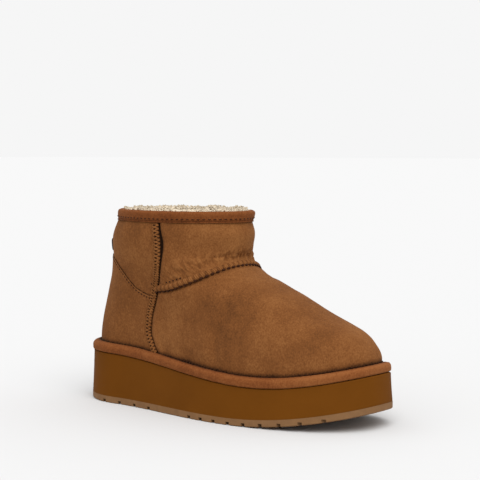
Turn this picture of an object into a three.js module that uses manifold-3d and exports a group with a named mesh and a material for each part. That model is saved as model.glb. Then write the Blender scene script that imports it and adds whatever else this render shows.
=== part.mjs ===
// Low sheepskin boot on a platform sole, a right shoe.
// Millimetres. +Z is up, the toe points along +X and the outer side of the foot faces -Y.
import * as THREE from "three";
import { mergeVertices } from "three/addons/utils/BufferGeometryUtils.js";
import Module from "manifold-3d";

const wasm = await Module();
wasm.setup();

// Sole: lengths and widths in plan
const soleLength = 275;
const heelWidth = 72.5;
const ballOuter = 52;
const ballInner = 50.5;
const ballOuterPlace = 168;
const ballInnerPlace = 194;
const heelRound = 44;
const toePowerOuter = 2.3;
const toePowerInner = 2.4;
const toeSwing = 5.3;

// Sole: heights above the floor
const heelPlatform = 40.3;
const forefootPlatform = 27.7;
const platformDropStart = 27;
const platformDropEnd = 226;
const toeSpring = 13.5;
const toeSpringStart = 169;
const heelBevel = 1.6;
const heelBevelLength = 33;
const outsoleThickness = 5.4;
const outsoleEdge = 0.7;
const wallLean = 1.3;
const midsoleEdge = 0.9;

// Tread grooves along both edges of the outsole
const grooveWidth = 2.4;
const grooveDepth = 2.0;
const grooveReach = 13;
const heelGrooveStart = 34.5;
const heelGroovePitch = 17.4;
const heelGrooveCount = 4;
const foreGrooveStart = 135.3;
const foreGroovePitch = 12.6;
const foreGrooveGrowth = 1.035;
const foreGrooveCount = 9;

// Welt, upper and what is fitted to them
const fit = 0.3;
const weltWidth = 7;
const weltProud = 1;
const weltHeight = 7.4;
const upperWall = 2.4;
const collarHeight = 156;
const collarBack = 32.9;
const collarLength = 118;
const collarWidth = 81.5;
const insoleThickness = 8;
const bindingThickness = 1.2;
const bindingDepth = 7.8;
const bindingInnerDepth = 4;

// Raised seams, counter and back tab, laid on the upper's outer face
const sideSeamWidth = 6;
const sideSeamRaise = 1.3;
const instepSeamWidth = 5;
const instepSeamRaise = 1.7;
const counterRaise = 0.8;
const tabWidth = 29;
const tabHeight = 11;
const tabRaise = 1.9;
const tabCorner = 1.5;

// Fleece ring inside the collar, with locks of wool on it
const fleeceDepth = 10;
const fleeceHeight = 27;
const fleeceFit = 0.8;
const fleeceCrest = 0.4;
const lockLength = 10;
const lockRadius = 3.6;
const lockSpacing = 13.2;
const lockTail = 0.4;
const lockLean = 0.9;
const lockSpread = 0.4;

// Mesh grid: steps from heel to toe on one side, and levels up the upper
const stepsPerSide = 24;
const middleLevels = 16;

const halfSole = soleLength / 2;

// Levels of the upper. up: share of the height from the sole to the collar. back, front and shape: share
// of the way from the foot's outline to the collar's. full: factor on the width.
const upperSections = [
  { up: 0.0, back: 0.06, front: 0.0, shape: 0.0, full: 1.0 },
  { up: 0.1, back: 0.075, front: -0.01, shape: 0.02, full: 1.03 },
  { up: 0.17, back: 0.12, front: 0.02, shape: 0.08, full: 1.03 },
  { up: 0.225, back: 0.165, front: 0.069, shape: 0.14, full: 1.01 },
  { up: 0.275, back: 0.215, front: 0.137, shape: 0.22, full: 0.99 },
  { up: 0.345, back: 0.3, front: 0.305, shape: 0.34, full: 0.965 },
  { up: 0.45, back: 0.43, front: 0.548, shape: 0.55, full: 0.95 },
  { up: 0.55, back: 0.57, front: 0.79, shape: 0.74, full: 0.965 },
  { up: 0.62, back: 0.63, front: 0.93, shape: 0.85, full: 0.99 },
  { up: 0.66, back: 0.65, front: 0.992, shape: 0.9, full: 1.0 },
  { up: 0.7, back: 0.66, front: 1.012, shape: 0.94, full: 1.012 },
  { up: 0.8, back: 0.645, front: 0.965, shape: 1.0, full: 1.03 },
  { up: 0.88, back: 0.75, front: 0.963, shape: 1.0, full: 1.03 },
  { up: 0.94, back: 0.88, front: 0.995, shape: 1.0, full: 1.005 },
  { up: 1.0, back: 1.0, front: 1.0, shape: 1.0, full: 1.0 },
];

// The sole's rise and fall is followed up to the welt's top and dies out at this share of the upper's height
const soleCurveEnd = 0.6;

// Outer face of the welt's section, from its foot to its top. inwards: share of its width, up: of its height
const weltSection = [
  { inwards: 0.17, up: 0.0 },
  { inwards: 0.03, up: 0.12 },
  { inwards: 0.0, up: 0.42 },
  { inwards: 0.09, up: 0.74 },
  { inwards: 0.31, up: 0.95 },
  { inwards: 0.57, up: 1.0 },
];

// Section of the fleece ring behind the binding, from its crest to its hem. inwards: share of its depth, below:
// share of its height under the collar
const fleeceSection = [
  { inwards: 0.4, below: 0.0 },
  { inwards: 1.0, below: 0.3 },
  { inwards: 0.6, below: 1.0 },
  { inwards: 0.0, below: 1.0 },
];

// Rows of locks on the fleece: the section's row that they sit on, their rise and how deep they are set
const lockRows = [
  { seat: 0, rise: 0.3, set: 0.5 },
  { seat: 1, rise: -0.1, set: 0.0 },
];

// Middle line of the side seams. up: share of the upper's height, along: share of the sole's length
const sideSeamPath = [
  { up: 0.0, along: 0.33 },
  { up: 0.11, along: 0.305 },
  { up: 0.17, along: 0.295 },
  { up: 0.24, along: 0.296 },
  { up: 0.33, along: 0.304 },
  { up: 0.42, along: 0.32 },
  { up: 0.56, along: 0.341 },
  { up: 0.7, along: 0.353 },
  { up: 0.8, along: 0.354 },
  { up: 0.93, along: 0.346 },
  { up: 1.0, along: 0.342 },
];

// Lower line of the instep seam, from the side seams to the front
const instepSeamPath = [
  { along: 0.3, up: 0.452 },
  { along: 0.345, up: 0.465 },
  { along: 0.397, up: 0.485 },
  { along: 0.435, up: 0.514 },
  { along: 0.474, up: 0.547 },
  { along: 0.505, up: 0.583 },
  { along: 0.53, up: 0.62 },
  { along: 0.55, up: 0.65 },
  { along: 0.575, up: 0.675 },
  { along: 0.64, up: 0.7 },
];

// Upper edge of the counter, from the back to the side seams
const counterPath = [
  { along: -0.1, up: 0.7 },
  { along: 0.08, up: 0.7 },
  { along: 0.125, up: 0.685 },
  { along: 0.161, up: 0.652 },
  { along: 0.199, up: 0.587 },
  { along: 0.234, up: 0.512 },
  { along: 0.25, up: 0.48 },
  { along: 0.271, up: 0.456 },
  { along: 0.31, up: 0.43 },
  { along: 0.36, up: 0.42 },
];

function clamp(value, low, high) {
  return Math.min(Math.max(value, low), high);
}

function mix(a, b, share) {
  return a + (b - a) * share;
}

function smooth(share) {
  const t = clamp(share, 0, 1);
  return t * t * (3 - 2 * t);
}

// Smooth curve through a table's rows, as cubic pieces with the neighbours' slope at each row
function alongTable(rows, key, column, at) {
  const last = rows.length - 1;
  let i = 0;
  while (i < last - 1 && at > rows[i + 1][key]) {
    i += 1;
  }
  const slope = (k) => {
    const before = rows[Math.max(k - 1, 0)];
    const after = rows[Math.min(k + 1, last)];
    return (after[column] - before[column]) / (after[key] - before[key]);
  };
  const span = rows[i + 1][key] - rows[i][key];
  const t = clamp((at - rows[i][key]) / span, 0, 1);
  const rise = rows[i + 1][column] - rows[i][column];
  const startLean = slope(i) * span - rise;
  const endLean = rise - slope(i + 1) * span;
  return mix(rows[i][column], rows[i + 1][column], t) + t * (1 - t) * mix(startLean, endLean, t);
}

// Height of the platform's top above the floor
function soleTop(x) {
  const along = x + halfSole;
  const drop = smooth((along - platformDropStart) / (platformDropEnd - platformDropStart));
  return mix(heelPlatform, forefootPlatform, drop) + springAt(x);
}

function springAt(x) {
  const past = clamp((x + halfSole - toeSpringStart) / (soleLength - toeSpringStart), 0, 1);
  return toeSpring * past * past;
}

function bevelAt(x) {
  const near = clamp(1 - (x + halfSole) / heelBevelLength, 0, 1);
  return heelBevel * near * near;
}

// Half width of an outline in plan: round heel, smooth widening to the ball, rounded toe
function halfWidth(x, outline, side) {
  const heelEnd = outline.back + outline.round;
  const widest = outline.widest[side];
  const widening = smooth((x - heelEnd) / Math.max(widest - heelEnd, 1));
  const full = mix(outline.heel, outline.half[side], widening);
  const past = clamp((x - widest) / (outline.front - widest), 0, 1);
  const behind = clamp((heelEnd - x) / outline.round, 0, 1);
  const power = outline.power[side];
  return full * Math.sqrt(1 - behind * behind) * (1 - past ** power) ** (1 / power);
}

// A ring of plan points: outer side from heel to toe, then inner side back to the heel
function planRing(outline) {
  const points = [];
  for (let k = 0; k < 2 * stepsPerSide; k += 1) {
    const side = k <= stepsPerSide ? "outer" : "inner";
    const step = k <= stepsPerSide ? k : 2 * stepsPerSide - k;
    const share = (1 - Math.cos((Math.PI * step) / stepsPerSide)) / 2;
    const x = mix(outline.back, outline.front, share);
    const middle = outline.swing * (Math.max(x, 0) / halfSole) ** 2;
    const reach = halfWidth(x, outline, side);
    points.push(new THREE.Vector2(x, side === "outer" ? middle - reach : middle + reach));
  }
  return points;
}

const soleOutline = {
  back: -halfSole,
  front: halfSole,
  round: heelRound,
  heel: heelWidth / 2,
  half: { outer: ballOuter, inner: ballInner },
  widest: { outer: ballOuterPlace - halfSole, inner: ballInnerPlace - halfSole },
  power: { outer: toePowerOuter, inner: toePowerInner },
  swing: toeSwing,
};

// The upper stands inside the welt
const upperInset = wallLean + weltWidth - weltProud;

const footOutline = {
  ...soleOutline,
  back: soleOutline.back + upperInset,
  front: soleOutline.front - upperInset,
  round: heelRound - upperInset,
  heel: soleOutline.heel - upperInset,
  half: { outer: ballOuter - upperInset, inner: ballInner - upperInset },
};

const collarMiddle = collarBack - halfSole + collarLength / 2;

const collarOutline = {
  back: collarBack - halfSole,
  front: collarBack - halfSole + collarLength,
  round: collarLength / 2,
  heel: collarWidth / 2,
  half: { outer: collarWidth / 2, inner: collarWidth / 2 },
  widest: { outer: collarMiddle, inner: collarMiddle },
  power: { outer: 2, inner: 2 },
  swing: 0,
};

// Outline of the upper's outer face at one level
function upperOutline(up) {
  const column = (name) => alongTable(upperSections, "up", name, clamp(up, 0, 1));
  const shape = column("shape");
  const full = column("full");
  const pair = (name, factor) => ({
    outer: mix(footOutline[name].outer, collarOutline[name].outer, shape) * factor,
    inner: mix(footOutline[name].inner, collarOutline[name].inner, shape) * factor,
  });
  return {
    back: mix(footOutline.back, collarOutline.back, column("back")),
    front: mix(footOutline.front, collarOutline.front, column("front")),
    round: mix(footOutline.round, collarOutline.round, shape),
    heel: mix(footOutline.heel, collarOutline.heel, shape) * full,
    half: pair("half", full),
    widest: pair("widest", 1),
    power: pair("power", 1),
    swing: mix(footOutline.swing, 0, shape),
  };
}

const upperFoot = heelPlatform + fit;
const weltTopShare = weltHeight / (collarHeight - upperFoot);
const bindingEdgeShare = 1 - bindingDepth / (collarHeight - upperFoot);

// Height of a point of the upper: it follows the sole up to the welt's top and is level at the collar
function upperHeight(up, x) {
  const past = Math.max(up - weltTopShare, 0) / (soleCurveEnd - weltTopShare);
  const fade = clamp(1 - past, 0, 1) ** 2;
  return mix(upperFoot, collarHeight, up) + (soleTop(x) - heelPlatform) * fade;
}

function upperRing(up) {
  return planRing(upperOutline(up)).map((p) => new THREE.Vector3(p.x, p.y, upperHeight(up, p.x)));
}

const normalStep = 0.01;

// The upper's face at one level, moved outwards by an offset along its own normals
function upperFace(up, offset) {
  const ring = upperRing(up);
  const above = upperRing(Math.min(up + normalStep, 1));
  const below = upperRing(Math.max(up - normalStep, 0));
  const count = ring.length;
  return ring.map((point, k) => {
    const round = ring[(k + 1) % count].clone().sub(ring[(k + count - 1) % count]);
    const rise = above[k].clone().sub(below[k]);
    const normal = round.cross(rise).normalize();
    const level = up <= 0 || up >= 1;
    if (level) {
      normal.setZ(0).normalize();
    }
    const moved = point.clone().addScaledVector(normal, offset);
    if (level) {
      moved.z = upperHeight(up, moved.x);
    }
    return moved;
  });
}

function raised(ring, height) {
  return ring.map((p) => new THREE.Vector3(p.x, p.y, p.z + height));
}

// A ring of the sole: its outline moved inwards, at a height that may change along it
function soleRing(inset, heightAt) {
  const ring = planRing(soleOutline);
  const count = ring.length;
  return ring.map((point, k) => {
    const along = ring[(k + 1) % count].clone().sub(ring[(k + count - 1) % count]).normalize();
    const x = point.x - along.y * inset;
    const y = point.y + along.x * inset;
    return new THREE.Vector3(x, y, heightAt(x));
  });
}

// Faces between neighbouring rings. ends: "open" rings are joined last to first, "capped" ones are closed
function loft(rings, ends) {
  const count = rings[0].length;
  const positions = rings.flat().flatMap((p) => [p.x, p.y, p.z]);
  const faces = [];
  const strips = ends === "open" ? rings.length : rings.length - 1;
  for (let r = 0; r < strips; r += 1) {
    const low = r * count;
    const high = ((r + 1) % rings.length) * count;
    for (let k = 0; k < count; k += 1) {
      const next = (k + 1) % count;
      faces.push(low + k, low + next, high + next, low + k, high + next, high + k);
    }
  }
  if (ends === "capped") {
    const top = (rings.length - 1) * count;
    for (let k = 0; k < count / 2; k += 1) {
      const across = (count - k) % count;
      const acrossNext = count - k - 1;
      if (k > 0) {
        faces.push(top + k, top + k + 1, top + across, k, across, k + 1);
      }
      if (acrossNext > k + 1) {
        faces.push(top + k + 1, top + acrossNext, top + across, k + 1, across, acrossNext);
      }
    }
  }
  const geometry = new THREE.BufferGeometry();
  geometry.setAttribute("position", new THREE.Float32BufferAttribute(positions, 3));
  geometry.setIndex(faces);
  return geometry;
}

function solid(geometry) {
  const bare = geometry.clone();
  bare.deleteAttribute("normal");
  bare.deleteAttribute("uv");
  const merged = mergeVertices(bare, 1e-4);
  return new wasm.Manifold(
    new wasm.Mesh({
      numProp: 3,
      vertProperties: new Float32Array(merged.attributes.position.array),
      triVerts: new Uint32Array(merged.index.array),
    }),
  );
}

function geometryOf(manifold) {
  const mesh = manifold.getMesh();
  const geometry = new THREE.BufferGeometry();
  geometry.setAttribute("position", new THREE.BufferAttribute(new Float32Array(mesh.vertProperties), 3));
  geometry.setIndex([...mesh.triVerts]);
  return geometry;
}

// Levels of the upper's grid: one at the welt's top and one at the binding's edge, closer over the toe
const betweenLevels = Array.from({ length: middleLevels + 1 }, (_, i) =>
  mix(weltTopShare, bindingEdgeShare, (i / middleLevels) ** 1.1),
);
const levelShares = [0, ...betweenLevels, 1];

// Closed form of the upper with its outer face moved outwards, longer at both ends than the upper
function filledForm(offset) {
  const overrun = 20;
  const rings = levelShares.map((up) => upperFace(up, offset));
  rings.unshift(raised(rings[0], -overrun));
  rings.push(raised(rings[rings.length - 1], overrun));
  return solid(loft(rings, "capped"));
}

function makeUpper() {
  const outside = levelShares.map((up) => upperFace(up, 0));
  const inside = levelShares.map((up) => upperFace(up, -upperWall)).reverse();
  return loft([...outside, ...inside], "open");
}

function makeInsole() {
  const inset = upperWall + fit;
  const lift = insoleThickness / (collarHeight - upperFoot);
  const bottom = upperFace(0, -inset);
  const top = upperFace(lift, -inset - upperWall / 2);
  return loft([bottom, top], "capped");
}

function makeMidsole() {
  const foot = (x) => outsoleThickness + springAt(x) + fit;
  const shoulder = (x) => soleTop(x) - midsoleEdge;
  return loft(
    [
      soleRing(midsoleEdge / 2, foot),
      soleRing(0, (x) => foot(x) + midsoleEdge),
      soleRing(wallLean, shoulder),
      soleRing(wallLean + midsoleEdge, soleTop),
    ],
    "capped",
  );
}

function groovePlaces() {
  const places = [];
  for (let i = 0; i < heelGrooveCount; i += 1) {
    places.push(heelGrooveStart + i * heelGroovePitch - halfSole);
  }
  let place = foreGrooveStart - halfSole;
  for (let i = 0; i < foreGrooveCount; i += 1) {
    places.push(place);
    place += foreGroovePitch * foreGrooveGrowth ** i;
  }
  return places;
}

function makeOutsole() {
  const tread = (x) => springAt(x) + bevelAt(x);
  let body = solid(
    loft(
      [
        soleRing(outsoleEdge, tread),
        soleRing(0, (x) => tread(x) + outsoleEdge),
        soleRing(0, (x) => outsoleThickness + springAt(x)),
      ],
      "capped",
    ),
  );
  for (const x of groovePlaces()) {
    for (const side of ["outer", "inner"]) {
      const sign = side === "outer" ? -1 : 1;
      const edge = sign * halfWidth(x, soleOutline, side) + toeSwing * (Math.max(x, 0) / halfSole) ** 2;
      const groove = new THREE.BoxGeometry(grooveWidth, 2 * grooveReach, 2 * grooveDepth);
      groove.translate(x, edge, tread(x));
      body = body.subtract(solid(groove));
    }
  }
  return geometryOf(body);
}

function makeWelt() {
  const outer = wallLean - weltProud;
  const outside = weltSection.map((row) =>
    soleRing(outer + row.inwards * weltWidth, (x) => soleTop(x) + fit + row.up * weltHeight),
  );
  return loft([...outside, upperFace(weltTopShare, fit), upperFace(0, fit)], "open");
}

function makeBinding() {
  const lowInside = 1 - bindingInnerDepth / (collarHeight - upperFoot);
  const out = fit + bindingThickness;
  const inside = -upperWall - fit;
  return loft(
    [
      upperFace(bindingEdgeShare, fit),
      upperFace(bindingEdgeShare, out),
      upperFace(1, out),
      raised(upperFace(1, out - bindingThickness / 2), out),
      raised(upperFace(1, inside - bindingThickness / 2), out),
      upperFace(1, inside - bindingThickness),
      upperFace(lowInside, inside - bindingThickness),
      upperFace(lowInside, inside),
      raised(upperFace(1, inside), fit),
      raised(upperFace(1, fit), fit),
    ],
    "open",
  );
}

// A path table in side view: points of length and height
function sidePath(rows, key, steps) {
  const first = rows[0][key];
  const last = rows[rows.length - 1][key];
  return Array.from({ length: steps + 1 }, (_, i) => {
    const at = mix(first, last, i / steps);
    const other = key === "up" ? "along" : "up";
    const value = alongTable(rows, key, other, at);
    const along = key === "up" ? value : at;
    const x = along * soleLength - halfSole;
    const up = key === "up" ? at : value;
    return new THREE.Vector2(x, mix(upperFoot, collarHeight, up));
  });
}

// The path moved sideways in side view, to the left of its direction
function besides(path, distance) {
  return path.map((point, i) => {
    const from = path[Math.max(i - 1, 0)];
    const to = path[Math.min(i + 1, path.length - 1)];
    const direction = to.clone().sub(from).normalize();
    return new THREE.Vector2(point.x - direction.y * distance, point.y + direction.x * distance);
  });
}

// A region of the side view as a block right through the boot
function sideBlock(outline) {
  const depth = 2 * (ballOuter + ballInner);
  const geometry = new THREE.ExtrudeGeometry(new THREE.Shape(outline), { depth, bevelEnabled: false });
  geometry.rotateX(Math.PI / 2);
  geometry.translate(0, depth / 2, 0);
  return solid(geometry);
}

function band(path, low, high) {
  return sideBlock([...besides(path, low), ...besides(path, high).reverse()]);
}

const seamSteps = 13;
const sideSeamLine = sidePath(sideSeamPath, "up", seamSteps);
const instepSeamLine = sidePath(instepSeamPath, "along", seamSteps);
const counterLine = sidePath(counterPath, "along", seamSteps);
const coverForm = filledForm(fit);

// What lies on the upper between two distances from its face
function cover(raise) {
  return filledForm(fit + raise).subtract(coverForm);
}

// The room between welt and binding that the overlays may use
function betweenWeltAndBinding() {
  const low = (x) => soleTop(x) + weltHeight + 2 * fit;
  const high = () => collarHeight - bindingDepth - fit;
  return solid(loft([soleRing(-upperInset, low), soleRing(-upperInset, high)], "capped"));
}

const overlayRoom = betweenWeltAndBinding();

function halfBlock(side) {
  const size = 2 * soleLength;
  const block = new THREE.BoxGeometry(size, size, size);
  block.translate(0, side === "outer" ? -size / 2 : size / 2, 0);
  return solid(block);
}

function makeSideSeam(side) {
  const strip = band(sideSeamLine, -sideSeamWidth / 2, sideSeamWidth / 2);
  return geometryOf(cover(sideSeamRaise).intersect(strip).intersect(overlayRoom).intersect(halfBlock(side)));
}

// Everything in front of, or behind, the side seams with the fit between them
function besideSeam(front) {
  const edge = besides(sideSeamLine, (front ? -1 : 1) * (sideSeamWidth / 2 + fit));
  const far = front ? soleLength : -soleLength;
  const first = edge[0];
  const last = edge[edge.length - 1];
  return sideBlock([...edge, new THREE.Vector2(far, last.y), new THREE.Vector2(far, first.y)]);
}

function makeInstepSeam() {
  const roll = band(instepSeamLine, 0, instepSeamWidth);
  return geometryOf(cover(instepSeamRaise).intersect(roll).intersect(besideSeam(true)));
}

function makeCounter() {
  const under = [...counterLine];
  under.push(new THREE.Vector2(under[under.length - 1].x, 0), new THREE.Vector2(under[0].x, 0));
  const region = sideBlock(under).intersect(besideSeam(false)).intersect(overlayRoom);
  return geometryOf(cover(counterRaise).intersect(region));
}

function makeTab() {
  const wide = tabWidth / 2;
  const high = tabHeight / 2;
  const shape = new THREE.Shape();
  shape.moveTo(-wide + tabCorner, -high);
  shape.lineTo(wide - tabCorner, -high);
  shape.absarc(wide - tabCorner, -high + tabCorner, tabCorner, -Math.PI / 2, 0);
  shape.absarc(wide - tabCorner, high - tabCorner, tabCorner, 0, Math.PI / 2);
  shape.absarc(-wide + tabCorner, high - tabCorner, tabCorner, Math.PI / 2, Math.PI);
  shape.absarc(-wide + tabCorner, -high + tabCorner, tabCorner, Math.PI, Math.PI * 1.5);
  const block = new THREE.ExtrudeGeometry(shape, { depth: soleLength, bevelEnabled: false, curveSegments: 3 });
  block.rotateZ(Math.PI / 2);
  block.rotateY(-Math.PI / 2);
  block.translate(collarMiddle, 0, counterLine[0].y + fit + high);
  return geometryOf(cover(tabRaise).intersect(solid(block)));
}

// A point part of the way round a ring
function aroundRing(ring, share) {
  const at = share * ring.length;
  const k = Math.floor(at) % ring.length;
  return ring[k].clone().lerp(ring[(k + 1) % ring.length], at - Math.floor(at));
}

function ringLength(ring) {
  return ring.reduce((sum, p, k) => sum + p.distanceTo(ring[(k + 1) % ring.length]), 0);
}

// A fixed spread of values from 0 to 1, so that no two locks are alike
function scatter(seed) {
  const value = Math.sin(seed * 12.9898) * 43758.5453;
  return value - Math.floor(value);
}

// One lock: a pointed drop that leans inwards over the collar's opening
function makeLock(seat, row, seed) {
  const profile = [
    new THREE.Vector2(0, -lockLength * lockTail),
    new THREE.Vector2(lockRadius, 0),
    new THREE.Vector2(0, lockLength * (1 - lockTail)),
  ];
  const inwards = new THREE.Vector3(collarMiddle - seat.x, -seat.y, 0).normalize();
  const sideways = new THREE.Vector3(-inwards.y, inwards.x, 0).multiplyScalar(scatter(seed + 7) - 0.5);
  const heading = inwards.multiplyScalar(lockLean).add(sideways).setZ(row.rise).normalize();
  const lock = new THREE.LatheGeometry(profile, 4);
  lock.scale(1, 1 + lockSpread * (scatter(seed + 3) - 0.5), 1);
  lock.applyQuaternion(new THREE.Quaternion().setFromUnitVectors(new THREE.Vector3(0, 1, 0), heading));
  lock.translate(seat.x, seat.y, seat.z - row.set * lockRadius);
  return solid(lock);
}

function makeFleece() {
  const height = collarHeight - upperFoot;
  const outside = -(upperWall + fit + bindingThickness + fleeceFit);
  const section = fleeceSection.map((row) =>
    upperFace(1 - (row.below * fleeceHeight) / height, outside - row.inwards * fleeceDepth),
  );
  section[0] = raised(section[0], fleeceCrest);
  const shoulder = upperFace(1, outside);
  const waist = upperFace(1 - bindingInnerDepth / height, outside);
  let fleeceBody = solid(loft([shoulder, ...section, waist], "open"));
  for (const row of lockRows) {
    const seats = section[row.seat];
    const count = Math.round(ringLength(seats) / lockSpacing);
    for (let i = 0; i < count; i += 1) {
      const seed = row.seat * 100 + i;
      const seat = aroundRing(seats, (i + scatter(seed) / 2) / count);
      fleeceBody = fleeceBody.add(makeLock(seat, row, seed));
    }
  }
  return geometryOf(fleeceBody);
}

function piece(name, geometry, colour, roughness) {
  const material = new THREE.MeshStandardMaterial({ color: colour, roughness, metalness: 0 });
  const mesh = new THREE.Mesh(geometry, material);
  mesh.name = name;
  return mesh;
}

const suede = 0x8a5a2f;
const bindingSuede = 0x7d4a28;
const foam = 0x70400f;
const rubber = 0x8d6a45;
const fleece = 0xe3d5b6;
const tabBrown = 0x2a1a12;

const boot = new THREE.Group();
boot.add(
  piece("upper", makeUpper(), suede, 0.95),
  piece("insole", makeInsole(), fleece, 1),
  piece("midsole", makeMidsole(), foam, 0.6),
  piece("outsole", makeOutsole(), rubber, 0.8),
  piece("welt", makeWelt(), bindingSuede, 0.95),
  piece("collar_binding", makeBinding(), bindingSuede, 0.95),
  piece("heel_counter", makeCounter(), suede, 0.95),
  piece("side_seam_outer", makeSideSeam("outer"), bindingSuede, 0.95),
  piece("side_seam_inner", makeSideSeam("inner"), bindingSuede, 0.95),
  piece("instep_seam", makeInstepSeam(), bindingSuede, 0.95),
  piece("back_tab", makeTab(), tabBrown, 0.7),
  piece("collar_fleece", makeFleece(), fleece, 1),
);

// The origin is the middle of the boot's box, on the floor
const box = new THREE.Box3().setFromObject(boot);
const middle = box.getCenter(new THREE.Vector3());
boot.position.set(-middle.x, -middle.y, -box.min.z);

export default boot;
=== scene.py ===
"""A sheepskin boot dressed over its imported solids, in suede, fleece, foam and rubber."""

import math
import random
from contextlib import contextmanager

import bpy
import numpy as np
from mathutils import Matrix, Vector, noise


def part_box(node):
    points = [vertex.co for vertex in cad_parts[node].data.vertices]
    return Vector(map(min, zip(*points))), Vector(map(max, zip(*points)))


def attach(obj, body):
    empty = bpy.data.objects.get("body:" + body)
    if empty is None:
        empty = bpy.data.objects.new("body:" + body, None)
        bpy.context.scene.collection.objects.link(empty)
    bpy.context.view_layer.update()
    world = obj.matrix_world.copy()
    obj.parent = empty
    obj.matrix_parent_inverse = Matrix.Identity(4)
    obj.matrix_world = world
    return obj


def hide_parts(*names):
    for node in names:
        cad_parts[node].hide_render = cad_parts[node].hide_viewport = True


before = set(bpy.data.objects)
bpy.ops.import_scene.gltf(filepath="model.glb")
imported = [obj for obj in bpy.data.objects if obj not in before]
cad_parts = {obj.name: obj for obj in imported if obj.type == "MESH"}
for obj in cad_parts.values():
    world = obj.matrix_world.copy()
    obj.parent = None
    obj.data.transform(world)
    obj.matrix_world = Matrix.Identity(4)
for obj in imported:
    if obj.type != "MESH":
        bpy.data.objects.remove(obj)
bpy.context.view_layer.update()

bl_info = {
    "name": "Sheepskin boot",
    "version": (1, 0, 0),
    "blender": (4, 5, 0),
    "location": "3D View > Sidebar > Boot",
    "description": "Dresses the packed solids of a sheepskin boot",
    "category": "Object",
}

MM = 0.001

# A CAD ring has this many points on each side of the boot
SIDE_STEPS = 24
RING = 2 * SIDE_STEPS

# Places on the skin: columns run round it from the heel, rows from 0 at its foot to 18 at the collar
COLUMNS = np.arange(480) / 10.0
ROW_STEP = 0.05
FINE_ROWS = np.arange(0, 18.01, ROW_STEP)
TANGENT_STEP = 0.05
LOCATE_STEPS = 240
SOLE_COLUMNS = 384

# The boot's own sizes in side view, in millimetres
SOLE_LENGTH = 275.0
UPPER_FOOT = 40.6
UPPER_HEIGHT = 115.4
HEEL_MIDDLE = -60.0

# How far the photo's outline lies inside the solids, in millimetres
SHAFT_FRONT_IN = 1.9
TOE_IN = 1.7
WELT_TOE_IN = 1.0

# Spacing of the stitches, in millimetres
ROLL_PITCH = 4.8
SEAM_PITCH = 2.9
COUNTER_PITCH = 3.1
HOLE_PITCH = 3.7
WELT_PITCH = 3.4

# Length, width and height of one stitch of each row, in millimetres
BINDING_STITCH = (2.6, 1.0, 0.7)
COUNTER_STITCH = (1.6, 0.9, 0.8)
INSTEP_STITCH = (3.3, 2.0, 2.0)
HOLE = (1.8, 1.1, 0.7)
WELT_STITCH = (2.0, 0.9, 0.8)

# Width and height of the raised seams, in millimetres
SIDE_SEAM_SIZE = (6.2, 1.5)
ROLL_SIZE = (4.8, 2.0)

# The fleece's curls, how deep those off the crest are rooted, and the steps of one curl, in millimetres
CURLS = 4600
PILE_ROOTS = 8.5
CURL_STEPS = (
    ("rise", "side", "lean", "thin"),
    (0.8, 0.3, 0.5, 1.2),
    (0.7, 0.7, 0.7, 0.85),
    (0.3, 0.6, 0.9, 0.4),
)

# The stage: angles in degrees, and the camera's place and lens in millimetres, fitted to the photo
FLOOR_COLOUR = (0.637, 0.637, 0.637, 1)
SUN_STRENGTH = 2.2
SUN_SPREAD = 50
SUN_FROM = (0.55, -0.5, 1.0)
CAMERA_PLACE = (684.1, -871.2, 204.6)
CAMERA_YAW = 37.76
CAMERA_TILT = 3.63
CAMERA_LENS = 106.2

# Middle line of the side seams: up as a share of the upper's height, along as a share of the sole's
# length
SIDE_SEAM = (
    ("up", "along"),
    (0.0, 0.33),
    (0.11, 0.305),
    (0.17, 0.295),
    (0.24, 0.296),
    (0.33, 0.304),
    (0.42, 0.32),
    (0.56, 0.341),
    (0.7, 0.353),
    (0.8, 0.354),
    (0.93, 0.346),
    (1.0, 0.342),
)

# Lower line of the instep seam
INSTEP_SEAM = (
    ("along", "up"),
    (0.3, 0.452),
    (0.345, 0.465),
    (0.397, 0.485),
    (0.435, 0.514),
    (0.474, 0.547),
    (0.505, 0.583),
    (0.53, 0.62),
    (0.55, 0.65),
    (0.575, 0.675),
    (0.64, 0.7),
)

# Upper edge of the heel counter
COUNTER_EDGE = (
    ("along", "up"),
    (-0.1, 0.7),
    (0.08, 0.7),
    (0.125, 0.685),
    (0.161, 0.652),
    (0.199, 0.587),
    (0.234, 0.512),
    (0.25, 0.48),
    (0.271, 0.456),
    (0.31, 0.43),
    (0.36, 0.42),
)


def table_line(table, places):
    """A table's second column at the given places of its first, on a smooth line."""
    rows = np.array(table[1:], float)
    first, second = rows[:, 0], rows[:, 1]
    slope = np.gradient(second, first)
    places = np.clip(places, first[0], first[-1])
    i = np.clip(np.searchsorted(first, places) - 1, 0, len(first) - 2)
    step = first[i + 1] - first[i]
    t = (places - first[i]) / step
    return (
        (2 * t**3 - 3 * t**2 + 1) * second[i]
        + (t**3 - 2 * t**2 + t) * step * slope[i]
        + (3 * t**2 - 2 * t**3) * second[i + 1]
        + (t**3 - t**2) * step * slope[i + 1]
    )


def seam_x(z):
    """Where the side seam's middle line stands, at a height."""
    up = (np.asarray(z, float) - UPPER_FOOT) / UPPER_HEIGHT
    return table_line(SIDE_SEAM, up) * SOLE_LENGTH - SOLE_LENGTH / 2


def side_height(table, x):
    """How high the line of a table with along and up stands at x, in millimetres."""
    along = (np.asarray(x, float) + SOLE_LENGTH / 2) / SOLE_LENGTH
    return UPPER_FOOT + table_line(table, along) * UPPER_HEIGHT


def instep_z(x):
    return side_height(INSTEP_SEAM, x)


def counter_z(x):
    return side_height(COUNTER_EDGE, x)


def smooth(low, high, value):
    """A soft step from 0 at low to 1 at high."""
    t = np.clip((value - low) / (high - low), 0.0, 1.0)
    return t * t * (3 - 2 * t)


def bell(value, middle, width):
    """1 at the middle, falling softly to nought on both sides."""
    return np.exp(-(((value - middle) / width) ** 2))


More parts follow.
